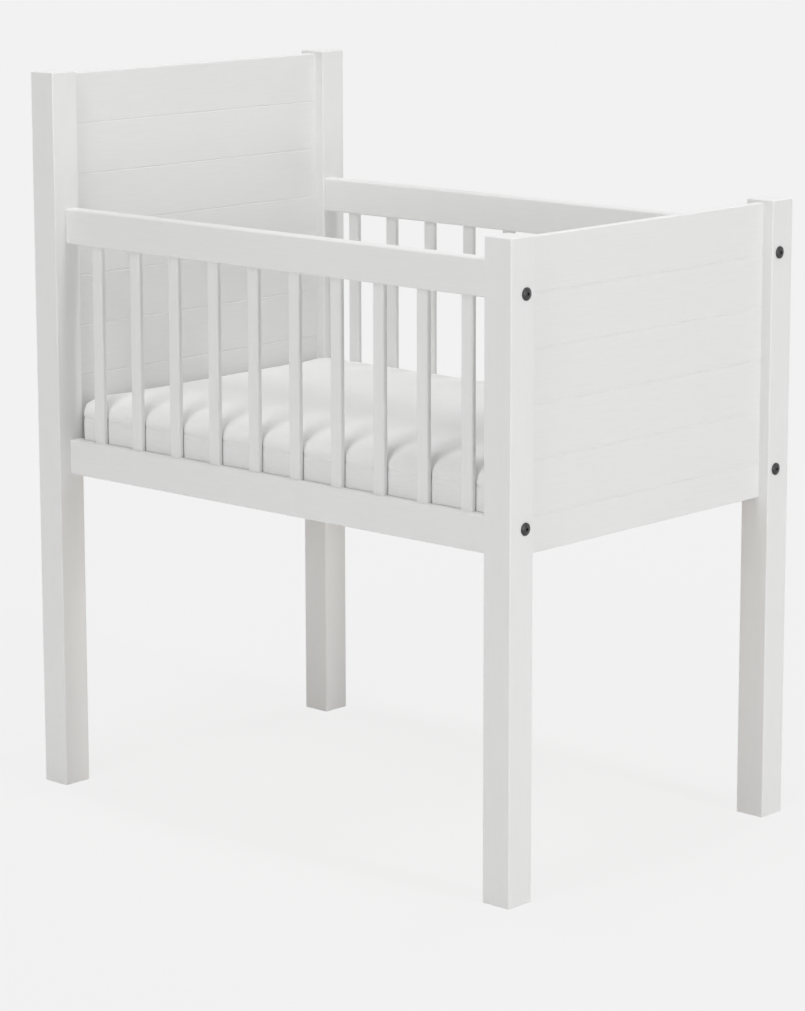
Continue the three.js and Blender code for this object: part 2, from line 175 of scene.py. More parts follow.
EDGE_ZONE = 40 * MM                 # round the edge, where the mesh is twice as fine,
UNDERSIDE = -0.9                    # but for what faces further down than this
RAIL_ZONE = (6 * MM, 20 * MM)       # heights where it is four times as fine, over the rail
SEAM_ZONE = (39 * MM, 50 * MM)      # and along the seam,
UPRIGHT = 0.7                       # for what faces further sideways than this


def node_size(name):
    low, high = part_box(name)
    return Vector(low), Vector(high)


# Materials

def node(tree, kind, place, **values):
    """A shader node, with its sockets or settings given by name."""
    made = tree.nodes.new(kind)
    made.location = place
    for name, value in values.items():
        socket = made.inputs.get(name.replace("_", " "))
        if socket is not None:
            socket.default_value = value
        else:
            setattr(made, name, value)
    return made


def new_material(name, colour, **values):
    """A material with one Principled shader, and that shader and its tree to build on."""
    material = bpy.data.materials.new(name)
    material.use_nodes = True
    tree = material.node_tree
    shader = tree.nodes["Principled BSDF"]
    shader.inputs["Base Color"].default_value = colour
    for socket, value in values.items():
        shader.inputs[socket.replace("_", " ")].default_value = value
    return material, tree, shader


def grain_noise(tree, along, scale, stretch, detail=6.0):
    """Noise on Object coordinates, drawn out along one axis as wood grain is."""
    place = node(tree, "ShaderNodeTexCoord", (-1100, 0))
    squeeze = [scale] * 3
    squeeze["XYZ".index(along)] = scale / stretch
    mapping = node(tree, "ShaderNodeMapping", (-900, 0), Scale=squeeze)
    noise = node(tree, "ShaderNodeTexNoise", (-700, 0), Scale=1.0, Detail=detail, Roughness=0.6)
    tree.links.new(place.outputs["Object"], mapping.inputs["Vector"])
    tree.links.new(mapping.outputs["Vector"], noise.inputs["Vector"])
    return place, noise


def tint(tree, shader, source, low, high, dark, light):
    """Varies the base colour from dark to light with a value between low and high."""
    colours = node(tree, "ShaderNodeValToRGB", (-350, 200))
    for stop, place, colour in zip(colours.color_ramp.elements, (low, high), (dark, light)):
        stop.position, stop.color = place, colour
    tree.links.new(source, colours.inputs["Fac"])
    tree.links.new(colours.outputs["Color"], shader.inputs["Base Color"])


def bump(tree, shader, source, distance, strength=1.0, under=None):
    relief = node(tree, "ShaderNodeBump", (-250, -250), Strength=strength, Distance=distance)
    tree.links.new(source, relief.inputs["Height"])
    if under is not None:
        tree.links.new(under.outputs["Normal"], relief.inputs["Normal"])
    tree.links.new(relief.outputs["Normal"], shader.inputs["Normal"])
    return relief


def spread(tree, source, low, high):
    """A 0 to 1 value brought to the range from low to high."""
    range_node = node(tree, "ShaderNodeMapRange", (-350, -50))
    range_node.inputs["To Min"].default_value = low
    range_node.inputs["To Max"].default_value = high
    tree.links.new(source, range_node.inputs["Value"])
    return range_node.outputs["Result"]


def white_paint(along):
    """Satin white paint on planed wood, with a little of the grain and of the roller's stipple."""
    white, dark, light = (0.80, 0.80, 0.795, 1), (0.785, 0.785, 0.78, 1), (0.81, 0.81, 0.805, 1)
    material, tree, shader = new_material("white_paint_" + along.lower(), white, Roughness=0.45)
    place, grain = grain_noise(tree, along, scale=420, stretch=22)
    tint(tree, shader, grain.outputs["Fac"], 0.3, 0.7, dark, light)
    stipple = node(tree, "ShaderNodeTexNoise", (-700, -350),
                   Scale=1500.0, Detail=3.0, Roughness=0.5)
    tree.links.new(place.outputs["Object"], stipple.inputs["Vector"])
    roughness = spread(tree, stipple.outputs["Fac"], low=0.38, high=0.52)
    tree.links.new(roughness, shader.inputs["Roughness"])
    under = bump(tree, shader, grain.outputs["Fac"], distance=0.06 * MM, strength=0.5)
    bump(tree, shader, stipple.outputs["Fac"], distance=0.03 * MM, strength=0.4, under=under)
    return material


def bare_pine(along):
    pine, dark, light = (0.72, 0.55, 0.35, 1), (0.52, 0.35, 0.19, 1), (0.78, 0.62, 0.42, 1)
    material, tree, shader = new_material("bare_pine_" + along.lower(), pine, Roughness=0.7)
    _, grain = grain_noise(tree, along, scale=260, stretch=30, detail=8.0)
    tint(tree, shader, grain.outputs["Fac"], 0.35, 0.68, dark, light)
    bump(tree, shader, grain.outputs["Fac"], distance=0.12 * MM, strength=0.6)
    return material


def black_steel():
    black, dark, light = (0.02, 0.02, 0.021, 1), (0.016, 0.016, 0.017, 1), (0.03, 0.03, 0.031, 1)
    material, tree, shader = new_material("black_steel", black, Roughness=0.38, Metallic=0.0)
    place = node(tree, "ShaderNodeTexCoord", (-1100, 0))
    mottle = node(tree, "ShaderNodeTexNoise", (-700, 0), Scale=900.0, Detail=4.0)
    tree.links.new(place.outputs["Object"], mottle.inputs["Vector"])
    tint(tree, shader, mottle.outputs["Fac"], 0.3, 0.7, dark, light)
    roughness = spread(tree, mottle.outputs["Fac"], low=0.3, high=0.5)
    tree.links.new(roughness, shader.inputs["Roughness"])
    bump(tree, shader, mottle.outputs["Fac"], distance=0.02 * MM, strength=0.5)
    return material


def zinc_steel():
    zinc = (0.6, 0.61, 0.62, 1)
    material, tree, shader = new_material("zinc_steel", zinc, Roughness=0.35, Metallic=1.0)
    place = node(tree, "ShaderNodeTexCoord", (-1100, 0))
    spangle = node(tree, "ShaderNodeTexVoronoi", (-700, 0), Scale=700.0)
    tree.links.new(place.outputs["Object"], spangle.inputs["Vector"])
    roughness = spread(tree, spangle.outputs["Distance"], low=0.28, high=0.5)
    tree.links.new(roughness, shader.inputs["Roughness"])
    bump(tree, shader, spangle.outputs["Distance"], distance=0.01 * MM, strength=0.4)
    return material


def white_cotton():
    """A plain weave: warp and weft as two waves, with slubs and a soft sheen."""
    cotton, dark, light = (0.80, 0.80, 0.795, 1), (0.775, 0.775, 0.77, 1), (0.82, 0.82, 0.815, 1)
    material, tree, shader = new_material("white_cotton", cotton, Roughness=0.92, Sheen_Weight=0.15)
    place, slub = grain_noise(tree, "X", scale=900, stretch=14)
    tint(tree, shader, slub.outputs["Fac"], 0.3, 0.7, dark, light)
    threads = []
    for direction in ("X", "Y"):
        wave = node(tree, "ShaderNodeTexWave", (-700, -300),
                    Scale=420.0, Distortion=1.5, Detail=2.0)
        wave.bands_direction = direction
        tree.links.new(place.outputs["Object"], wave.inputs["Vector"])
        threads.append(wave.outputs["Fac"])
    weave = node(tree, "ShaderNodeMath", (-450, -300), operation="MULTIPLY")
    for index, thread in enumerate(threads):
        tree.links.new(thread, weave.inputs[index])
    under = bump(tree, shader, slub.outputs["Fac"], distance=0.1 * MM, strength=0.5)
    bump(tree, shader, weave.outputs["Value"], distance=0.12 * MM, strength=0.6, under=under)
    return material


PAINT = {along: white_paint(along) for along in "XYZ"}
PINE = {along: bare_pine(along) for along in "XY"}
BLACK = black_steel()
ZINC = zinc_steel()
COTTON = white_cotton()


# Modelling tools

def deselect_all():
    bpy.ops.object.select_all(action="DESELECT")


def make_active(piece):
    deselect_all()
    piece.select_set(True)
    bpy.context.view_layer.objects.active = piece


def add_block(name, low, high):
    """A block between two corners, with its place in its mesh."""
    deselect_all()
    bpy.ops.mesh.primitive_cube_add(size=1, location=(low + high) / 2)
    block = bpy.context.object
    block.name = block.data.name = name
    block.scale = high - low
    bpy.ops.object.transform_apply(location=True, rotation=True, scale=True)
    return block


def clear_selection(mesh):
    for parts in (mesh.vertices, mesh.edges, mesh.polygons):
        parts.foreach_set("select", [False] * len(parts))


def edit_edges(piece, chosen):
    """Opens piece in edit mode with those edges selected whose two ends pass the test."""
    make_active(piece)
    bpy.context.tool_settings.mesh_select_mode = (False, True, False)
    mesh = piece.data
    clear_selection(mesh)
    for edge in mesh.edges:
        ends = [mesh.vertices[index] for index in edge.vertices]
        if chosen(ends[0].co, ends[1].co):
            edge.select = True
            for end in ends:
                end.select = True
    bpy.ops.object.mode_set(mode="EDIT")


def edit_faces(piece, chosen):
    """Opens piece in edit mode with those faces selected that pass the test."""
    make_active(piece)
    bpy.context.tool_settings.mesh_select_mode = (False, False, True)
    clear_selection(piece.data)
    for face in piece.data.polygons:
        face.select = chosen(face)
    bpy.ops.object.mode_set(mode="EDIT")


def leave_edit():
    bpy.ops.object.mode_set(mode="OBJECT")


def runs_along(axis, shortest):
    """A test for edges that run along one axis and are at least that long."""
    def test(a, b):
        step = [abs(value) for value in (b - a)]
        return step[axis] > shortest and sum(step) - step[axis] < SAME
    return test


def lies_at(axis, values):
    """A test for edges that lie in one of the given planes across an axis."""
    return lambda a, b: any(abs(a[axis] - v) < SAME and abs(b[axis] - v) < SAME for v in values)


def both(first, second):
    """A test that is passed where two others are."""
    return lambda a, b: first(a, b) and second(a, b)


def round_edges(piece, chosen, radius, steps):
    edit_edges(piece, chosen)
    bpy.ops.mesh.bevel(offset=radius, segments=steps, profile=0.5, affect="EDGES")
    leave_edit()


def apply_modifier(piece, name, kind, **settings):
    make_active(piece)
    modifier = piece.modifiers.new(name, kind)
    for setting, value in settings.items():
        setattr(modifier, setting, value)
    bpy.ops.object.modifier_apply(modifier=modifier.name)


def smooth(piece, degrees=SMOOTH_ANGLE):
    """Smooth shading over the rounded edges, with the flat faces left flat."""
    make_active(piece)
    bpy.ops.object.shade_smooth_by_angle(angle=math.radians(degrees))
    apply_modifier(piece, "even_normals", "WEIGHTED_NORMAL", keep_sharp=True)


def set_material(piece, material):
    piece.data.materials.clear()
    piece.data.materials.append(material)


def stand_for(piece, node_name, material):
    """The finished piece is shown in place of the node, rides on the cradle and takes the given
    material.
    """
    set_material(piece, material)
    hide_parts(node_name)
    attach(piece, ROOT)


def copied(piece, name, change=Matrix.Identity(4)):
    """A copy with its own mesh, moved by a matrix."""
    copy = piece.copy()
    copy.data = piece.data.copy()
    copy.name = copy.data.name = name
    copy.data.transform(change)
    bpy.context.scene.collection.objects.link(copy)
    return copy


# Painted wood

def stand_for_pair(piece, near_name, far_name, along):
    """The near piece, and its copy moved across for the far one, with the grain along an axis."""
    across = Vector((0, node_size(far_name)[0].y - node_size(near_name)[0].y, 0))
    twin = copied(piece, "painted_" + far_name, Matrix.Translation(across))
    stand_for(piece, near_name, PAINT[along])
    stand_for(twin, far_name, PAINT[along])


def make_posts():
    """Square posts with rounded edges and ends."""
    for end in ENDS:
        near_name, far_name = ("post_%s_%s" % (end, side) for side in SIDES)
        low, high = node_size(near_name)
        post = add_block("painted_" + near_name, low, high)
        round_edges(post, runs_along(2, LONG_EDGE), POST_EDGE, EDGE_STEPS)
        round_edges(post, lies_at(2, (low.z, high.z)), POST_END, END_STEPS)
        smooth(post)
        stand_for_pair(post, near_name, far_name, "Z")


def make_panel(end):
    """A boarded panel, cut across three times at each joint, the middle cut drawn in to a V."""
    name = end + "_panel"
    low, high = node_size(name)
    inner = node_size("post_%s_near" % end)[1].y
    low.y, high.y = inner - JOINT_BITE, -inner + JOINT_BITE
    panel = add_block("painted_" + name, low, high)
    joints = []
    height = high.z - BOARD
    while height > low.z + LEAST_BOARD:
        joints.append(height)
        height -= BOARD
    for joint in joints:
        for cut in (joint - V_HALF, joint, joint + V_HALF):
            edit_edges(panel, lambda a, b: True)
            bpy.ops.mesh.bisect(plane_co=(0, 0, cut), plane_no=(0, 0, 1))
            leave_edit()
    for face_x, inwards in ((low.x, 1), (high.x, -1)):
        edit_edges(panel, both(lies_at(0, (face_x,)), lies_at(2, joints)))
        bpy.ops.transform.translate(value=(inwards * V_DEPTH, 0, 0))
        leave_edit()
    arris = both(lies_at(2, (low.z, high.z)), lies_at(0, (low.x, high.x)))
    round_edges(panel, arris, PANEL_ARRIS, END_STEPS)
    apply_modifier(panel, "soft_joints", "BEVEL", width=V_SOFTENING, segments=2,
                   limit_method="ANGLE", angle_limit=math.radians(V_ANGLE))
    smooth(panel)
    stand_for(panel, name, PAINT["Y"])


def make_rails():
    """Rails between the posts, with their long edges rounded."""
    inner_x = node_size("post_head_near")[1].x
    for level in ("top", "low"):
        near_name, far_name = ("%s_rail_%s" % (level, side) for side in SIDES)
        low, high = node_size(near_name)
        low.x, high.x = inner_x - JOINT_BITE, -inner_x + JOINT_BITE
        rail = add_block("painted_" + near_name, low, high)
        round_edges(rail, runs_along(0, LONG_EDGE), RAIL_EDGE, EDGE_STEPS)
        smooth(rail)
        stand_for_pair(rail, near_name, far_name, "X")


def make_slats():
    """Flat upright slats with well rounded edges, all copies of one."""
    slat_names = sorted(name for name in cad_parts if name.startswith("slat_"))
    first_low, first_high = node_size(slat_names[0])
    from_z = node_size("low_rail_near")[1].z - JOINT_BITE
    to_z = node_size("top_rail_near")[0].z + JOINT_BITE
    low = Vector((first_low.x, first_low.y, from_z))
    high = Vector((first_high.x, first_high.y, to_z))
    pattern = add_block("slat_pattern", low, high)
    round_edges(pattern, runs_along(2, LONG_EDGE), SLAT_EDGE, EDGE_STEPS)
    smooth(pattern)
    for name in slat_names:
        step = node_size(name)[0] - first_low
        slat = copied(pattern, "painted_" + name, Matrix.Translation(step))
        stand_for(slat, name, PAINT["Z"])
    bpy.data.objects.remove(pattern)


def dress_base():
    """The ledges, base slats and inserts keep their own form, in bare pine and zinc."""
    for name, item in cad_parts.items():
        if name.startswith("ledge"):
            set_material(item, PINE["X"])
        elif name.startswith("base_slat"):
            set_material(item, PINE["Y"])
        elif name.startswith("insert"):
            set_material(item, ZINC)


# Bolts

def make_bolt_pattern(length):
    """A bolt along Z, seated at zero: a rim, a dome drawn up ring by ring, a socket, a shank."""
    deselect_all()
    bpy.ops.mesh.primitive_cylinder_add(vertices=HEAD_SIDES, radius=HEAD_RADIUS, depth=HEAD_RIM)
    bolt = bpy.context.object
    bolt.data.transform(Matrix.Translation((0, 0, HEAD_RIM / 2)))
    ball = (HEAD_RADIUS ** 2 + HEAD_RISE ** 2) / (2 * HEAD_RISE)
    reach = math.asin(HEAD_RADIUS / ball)
    mouth = SOCKET_FLATS / 2 * SOCKET_MOUTH

    def is_top(face):
        return face.normal.z > LEVEL and len(face.vertices) == HEAD_SIDES

    radii = [ball * math.sin(reach * (1 - step / HEAD_STEPS)) for step in range(HEAD_STEPS + 1)]
    radii = [radius for radius in radii if radius > mouth * LAST_RING] + [mouth]
    for outer, inner in zip(radii, radii[1:]):
        rise = math.sqrt(ball ** 2 - inner ** 2) - math.sqrt(ball ** 2 - outer ** 2)
        edit_faces(bolt, is_top)
        bpy.ops.mesh.inset(thickness=outer - inner, depth=0)
        bpy.ops.transform.translate(value=(0, 0, rise))
        leave_edit()
    edit_faces(bolt, is_top)
    bpy.ops.mesh.inset(thickness=mouth * MOUTH_LIP, depth=0)
    leave_edit()
    top = next(face for face in bolt.data.polygons if is_top(face))
    for index in top.vertices:
        point = bolt.data.vertices[index].co
        turn = math.atan2(point.y, point.x) % (math.pi / 3) - math.pi / 6
        point.xy = point.xy.normalized() * (SOCKET_FLATS / 2 / math.cos(turn))
    edit_faces(bolt, is_top)
    bpy.ops.mesh.extrude_region_move(TRANSFORM_OT_translate={"value": (0, 0, -SOCKET_DEPTH)})
    leave_edit()

    def is_seat(face):
        return face.normal.z < -LEVEL and len(face.vertices) == HEAD_SIDES

    edit_faces(bolt, is_seat)
    bpy.ops.mesh.inset(thickness=HEAD_RADIUS - SHANK_RADIUS, depth=0)
    for down in (SHANK_CHAMFER - length, -SHANK_CHAMFER):
        bpy.ops.mesh.extrude_region_move(TRANSFORM_OT_translate={"value": (0, 0, down)})
    bpy.ops.transform.resize(value=(1 - SHANK_CHAMFER / SHANK_RADIUS,) * 2 + (1,))
    leave_edit()
    apply_modifier(bolt, "soft_edges", "BEVEL", width=BOLT_SOFTENING, segments=2,
                   limit_method="ANGLE", angle_limit=math.radians(BOLT_SOFTENED_ANGLE))
    smooth(bolt, BOLT_SMOOTH_ANGLE)
    return bolt


def make_bolts():
    names = sorted(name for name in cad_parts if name.startswith("bolt_"))
    low, high = node_size(names[0])
    length = high.x - low.x - HEAD_RIM - HEAD_RISE
    pattern = make_bolt_pattern(length)
    for name in names:
        low, high = node_size(name)
        end = 1 if high.x > 0 else -1
        seat_x = (high.x if end > 0 else -low.x) - HEAD_RIM - HEAD_RISE
        place = Matrix.Translation((end * seat_x, (low.y + high.y) / 2, (low.z + high.z) / 2))
        turn = Matrix.Rotation(end * math.pi / 2, 4, "Y")
        bolt = copied(pattern, "black_" + name, place @ turn)
        stand_for(bolt, name, BLACK)
    bpy.data.objects.remove(pattern)


# Mattress

def mattress_limits():
    """The places that the mattress is held between: base, rails, slats and posts."""
    slats = sorted(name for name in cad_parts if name.startswith("slat_near"))
    return {
        "base": node_size("mattress")[0].z,
        "rail_top": node_size("low_rail_near")[1].z,
        "rail_y": node_size("low_rail_far")[0].y,
        "slat_y": node_size("slat_far_01")[0].y - SLAT_GAP,
        "post_x": node_size("post_foot_far")[0].x,
        "post_y": node_size("post_foot_far")[0].y,
        "slat_x": [(node_size(name)[0].x + node_size(name)[1].x) / 2 for name in slats],
        "slat_half": (node_size(slats[0])[1].x - node_size(slats[0])[0].x - SLAT_EDGE) / 2,
    }


def mattress_profile(limits):
    """The section from the bottom to the top's middle, in insets and heights over the base."""
    held_in = limits["slat_y"] - limits["rail_y"] + RAIL_ROOM
    rail_top = limits["rail_top"] - limits["base"]
    section = []
    for step in range(BOTTOM_STEPS + 1):
        angle = step / BOTTOM_STEPS * math.pi / 2
        inset = held_in + BOTTOM_RADIUS * (1 - math.sin(angle))
        section.append((inset, BOTTOM_RADIUS * (1 - math.cos(angle))))
    section.append((held_in, rail_top))
    section.append((0, rail_top + RISE_OVER_RAIL))
    section.append((0, (rail_top + RISE_OVER_RAIL + SIDE_HEIGHT) / 2))
    section.append((0, SIDE_HEIGHT))
    for share in CROWN_POINTS:
        rise = (1 - (1 - share) ** 2) ** CROWN_POWER
        section.append((share * limits["slat_y"], SIDE_HEIGHT + CROWN * rise))
    return section


def rounded_plan(half_length, half_width, radius, along, across, round_steps):
    """Points and outward directions round a rectangle with rounded corners."""
    points = []
    straight = (half_length - radius, half_width - radius)
    for corner, (sign_x, sign_y) in enumerate(((1, -1), (1, 1), (-1, 1), (-1, -1))):
        start = (corner - 1) * math.pi / 2
        for step in range(round_steps + 1):
            angle = start + step / round_steps * math.pi / 2
            out = Vector((math.cos(angle), math.sin(angle)))
            middle = Vector((sign_x * straight[0], sign_y * straight[1]))
            points.append((middle + out * radius, out))
        steps = across if corner % 2 == 0 else along
        out = Vector((sign_x, 0)) if corner % 2 == 0 else Vector((0, sign_y))
        first = points[-1][0]
        span = 2 * (straight[1] if corner % 2 == 0 else straight[0])
        direction = Vector((-out.y, out.x))
        for step in range(1, steps):
            points.append((first + direction * span * step / steps, out))
    return points


def mattress_form(limits):
    """The slack mattress before it is filled: rings of the plan at the heights of the section."""
    half_length = limits["post_x"] - END_ROOM - MATTRESS_SLACK
    half_width = limits["slat_y"] - MATTRESS_SLACK
    plan = rounded_plan(half_length, half_width, CORNER_RADIUS, *PLAN_STEPS)
    middle_height = (SIDE_HEIGHT + CROWN) / 2
    shrunk = 1 - MATTRESS_SLACK / middle_height
    vertices = [(0, 0, limits["base"] + MATTRESS_SLACK)]
    section = mattress_profile(limits)
    for inset, height in section:
        lowered = middle_height + (height - middle_height) * shrunk
        moved = min(inset, CORNER_INSET)
        rest = (inset - moved) / (half_width - moved)
        for place, out in plan:
            point = place - out * moved
            x = point.x * (1 - rest * half_width / half_length)
            vertices.append((x, point.y * (1 - rest), limits["base"] + lowered))
    vertices.append((0, 0, limits["base"] + SIDE_HEIGHT + CROWN - MATTRESS_SLACK))
    around = len(plan)
    last = len(vertices) - 1
    faces = []
    for point in range(around):
        after = (point + 1) % around
        faces.append((0, 1 + after, 1 + point))
        for ring in range(len(section) - 1):
            low, high = 1 + ring * around, 1 + (ring + 1) * around
            faces.append((low + point, low + after, high + after, high + point))
        top = 1 + (len(section) - 1) * around
        faces.append((top + point, top + after, last))
    mesh = bpy.data.meshes.new("mattress_form")
    mesh.from_pydata(vertices, [], faces)
    mattress = bpy.data.objects.new("cotton_mattress", mesh)
    bpy.context.scene.collection.objects.link(mattress)
    return mattress


def mesh_points(mesh):
    points = np.empty(len(mesh.vertices) * 3)
    mesh.vertices.foreach_get("co", points)
    return points.reshape(-1, 3)


def set_points(mesh, points):
    mesh.vertices.foreach_set("co", points.ravel())
    mesh.update()


def fill(mattress):
    """Fills the cover with air as foam would, and caps how far any point may go."""
    start = mesh_points(mattress.data)
    make_active(mattress)
    cloth = mattress.modifiers.new("filling", "CLOTH")
    for setting, value in FILLING.items():
        setattr(cloth.settings, setting, value)
    cloth.settings.effector_weights.gravity = 0
    scene = bpy.context.scene
    for step in range(1, FILLING_FRAMES + 1):
        scene.frame_set(step)
    bpy.ops.object.modifier_apply(modifier=cloth.name)
    scene.frame_set(1)
    filled = mesh_points(mattress.data)
    move = filled - start
    length = np.linalg.norm(move, axis=1, keepdims=True)
    capped = MATTRESS_CAP * np.tanh(length / MATTRESS_CAP) / np.maximum(length, TINY)
    set_points(mattress.data, start + move * capped)


def ramp(values, low, high):
    """0 under low, 1 over high, with a smooth rise between."""
    share = np.clip((values - low) / (high - low), 0, 1)
    return share * share * (3 - 2 * share)


def mesh_normals(mesh):
    normals = np.empty(len(mesh.vertices) * 3)
    mesh.vertices.foreach_get("normal", normals)
    return normals.reshape(-1, 3)


def between_slats(x, limits):
    """0 for a point against a slat, rising to 1 half-way to the next."""
    slat_x = np.array(limits["slat_x"])
    distance = np.abs(x[:, None] - slat_x).min(axis=1) - limits["slat_half"]
    gap = slat_x[1] - slat_x[0] - 2 * limits["slat_half"]
    share = np.clip(distance / (gap / 2), 0, 1)
    return 1 - (1 - share) ** BULGE_POWER


def over_rail_edge(height, limits):
    """The cover's way over a rail's rounded edge and out to the slats.

    It gives for a height before pressing how far to the side the cover lies, how high it
    lies, and how much of its swelling it has there.
    """
    rail_top = limits["rail_top"] - limits["base"]
    reach = RAIL_EDGE + RAIL_ROOM
    turns = np.radians(np.linspace(0, 90, RAIL_TURN_STEPS))
    side_path = limits["rail_y"] + RAIL_EDGE - reach * np.cos(turns)
    height_path = rail_top - RAIL_EDGE + reach * np.sin(turns)
    slat_plane, on_top = limits["slat_y"] - SLAT_ROOM, rail_top + RAIL_ROOM
    side_path = np.append(side_path, slat_plane)
    height_path = np.append(height_path, on_top)
    lengths = np.append(0, np.cumsum(np.hypot(np.diff(side_path), np.diff(height_path))))
    start, leaves = rail_top - RAIL_EDGE, rail_top + RISE_OVER_RAIL
    passed = np.clip((height - start) / (leaves - start), 0, 1) * lengths[-1]
    plane = np.interp(passed, lengths, side_path)
    ledge = [leaves, leaves + LEDGE_ROW, leaves + LEDGE_FADE]
    above = np.interp(height, ledge, [on_top, on_top, leaves + LEDGE_FADE])
    new_height = np.where(height < leaves, np.interp(passed, lengths, height_path), above)
    new_height = np.where((height > start) & (height < leaves + LEDGE_FADE), new_height, height)
    return plane, new_height, np.interp(plane, [limits["rail_y"] + RAIL_EDGE, slat_plane], [0, 1])


def press_sides(mattress, limits):
    """The long sides are held by the rails and their edges, and swell out between the slats."""
    mesh = mattress.data
    points, normals = mesh_points(mesh), mesh_normals(mesh)
    height = points[:, 2] - limits["base"]
    rail_top = limits["rail_top"] - limits["base"]
    side = np.abs(points[:, 1])
    plane, lifted, over_rail = over_rail_edge(height, limits)
    middle = (SHOULDER[1] + rail_top) / 2
    from_middle = (height - middle) / (SHOULDER[1] - middle + BULGE_PAST)
    roundness = np.clip(1 - from_middle ** BULGE_ROUNDNESS, 0, 1)
    swell = BULGE * between_slats(points[:, 0], limits) * np.sqrt(roundness) * over_rail
    straight = ramp(limits["post_x"] - CORNER_END - np.abs(points[:, 0]), 0, CORNER_FADE)
    on_side = (np.abs(normals[:, 1]) > SIDE_FACING) & (limits["slat_y"] - side < SIDE_DEPTH)
    over_bottom = ramp(height, BOTTOM_RADIUS / 2, BOTTOM_RADIUS)
    hold = straight * (1 - ramp(height, *SHOULDER)) * on_side * over_bottom
    held = side + (plane + swell - side) * hold
    held = np.minimum(held, plane + BULGE)
    points[:, 1] = np.sign(points[:, 1]) * held
    points[:, 2] = np.maximum(points[:, 2] + (lifted - height) * hold, limits["base"])
    set_points(mesh, points)


def press_ends(mattress, limits):
    """Each end swells out towards the panel between its posts, and stays clear of their faces."""
    mesh = mattress.data
    points = mesh_points(mesh)
    length, side = np.abs(points[:, 0]), np.abs(points[:, 1])
    outside = limits["post_x"] - END_ROOM
    length = np.minimum(length, outside)
    fades, gone = (limits["post_y"] - distance for distance in POST_ZONE)
    between_posts = 1 - ramp(side, fades, gone)
    length += END_BULGE * between_posts * ramp(length, outside - END_REACH, outside)
    points[:, 0] = np.sign(points[:, 0]) * length
    set_points(mesh, points)


def crease_edges(mattress, limits):
    """Over the shoulder a soft valley runs in from each slat, with a low swelling beside it."""
    mesh = mattress.data
    points, normals = mesh_points(mesh), mesh_normals(mesh)
    height = points[:, 2] - limits["base"]
    inset = np.maximum(limits["slat_y"] - np.abs(points[:, 1]), 0)
    nearest = np.abs(points[:, 0][:, None] - np.array(limits["slat_x"])).min(axis=1)
    width = VALLEY_WIDTH * (1 + inset / VALLEY_REACH)
    fade = np.exp(-((inset / VALLEY_REACH) ** 2))
    valley = VALLEY_DEPTH * np.exp(-((nearest / width) ** 2)) * fade
    swell = TOP_BULGE * between_slats(points[:, 0], limits) * fade
    upper = ramp(height, *SHOULDER)
    points += normals * ((swell - valley) * upper)[:, None]
    set_points(mesh, points)


def sew_seam(mattress, limits):
    """The seam that joins the cover's two halves is a fine groove all round the side."""
    mesh = mattress.data
    points, normals = mesh_points(mesh), mesh_normals(mesh)
    height = points[:, 2] - limits["base"]
    seam = SEAM_HEIGHT - SEAM_SAG * between_slats(points[:, 0], limits)
    on_side = np.abs(normals[:, 2]) < SEAM_FACING
    groove = np.exp(-(((height - seam) / SEAM_WIDTH) ** 2)) * on_side
    points -= normals * (SEAM_DEPTH * groove)[:, None]
    set_points(mesh, points)


def divide(mattress, chosen):
    edit_faces(mattress, chosen)
    bpy.ops.mesh.subdivide(number_cuts=1)
    leave_edit()


def refine_edges(mattress, limits):
    """The mesh is divided round the edge, and again along the rails and the seam."""
    inner_y, inner_x = limits["slat_y"] - EDGE_ZONE, limits["post_x"] - EDGE_ZONE

    def at_edge(face):
        is_outer = abs(face.center.y) > inner_y or abs(face.center.x) > inner_x
        return is_outer and face.normal.z > UNDERSIDE

    def at_fold(face):
        height = face.center.z - limits["base"]
        in_zone = any(low < height < high for low, high in (RAIL_ZONE, SEAM_ZONE))
        return in_zone and abs(face.normal.y) > UPRIGHT

    divide(mattress, at_edge)
    apply_modifier(mattress, "rounded", "SMOOTH", factor=0.5, iterations=2)
    divide(mattress, at_fold)


def make_mattress():
    limits = mattress_limits()
    mattress = mattress_form(limits)
    apply_modifier(mattress, "even_mesh", "REMESH", mode="VOXEL", voxel_size=MATTRESS_VOXEL)
    fill(mattress)
    apply_modifier(mattress, "relaxed", "SMOOTH", factor=0.5, iterations=3)
    refine_edges(mattress, limits)
    press_sides(mattress, limits)
    press_ends(mattress, limits)
    crease_edges(mattress, limits)
    sew_seam(mattress, limits)
    make_active(mattress)
    bpy.ops.object.shade_smooth()
    stand_for(mattress, "mattress", COTTON)


# Studio

def seen_directly(tree, place):
    """1 for what the camera sees, straight or mirrored, and 0 for the light on the object."""
    path = node(tree, "ShaderNodeLightPath", place)
    total = path.outputs["Is Camera Ray"]
    for name in ("Is Glossy Ray", "Is Transmission Ray"):
        added = node(tree, "ShaderNodeMath", (place[0] + 200, place[1]), operation="MAXIMUM")
        tree.links.new(total, added.inputs[0])
        tree.links.new(path.outputs[name], added.inputs[1])
        total = added.outputs["Value"]
    return total


def make_world():
    world = bpy.data.worlds.new("studio")
    bpy.context.scene.world = world
    world.use_nodes = True
    tree = world.node_tree
    tree.nodes.clear()
    light = node(tree, "ShaderNodeBackground", (-200, 100), Color=(1, 1, 1, 1), Strength=AMBIENT)
    view = node(tree, "ShaderNodeBackground", (-200, -100), Color=BACKGROUND, Strength=1.0)
    mix = node(tree, "ShaderNodeMixShader", (0, 0))
    output = node(tree, "ShaderNodeOutputWorld", (200, 0))
    tree.links.new(seen_directly(tree, (-900, 200)), mix.inputs["Fac"])
    tree.links.new(light.outputs["Background"], mix.inputs[1])
    tree.links.new(view.outputs["Background"], mix.inputs[2])
    tree.links.new(mix.outputs["Shader"], output.inputs["Surface"])


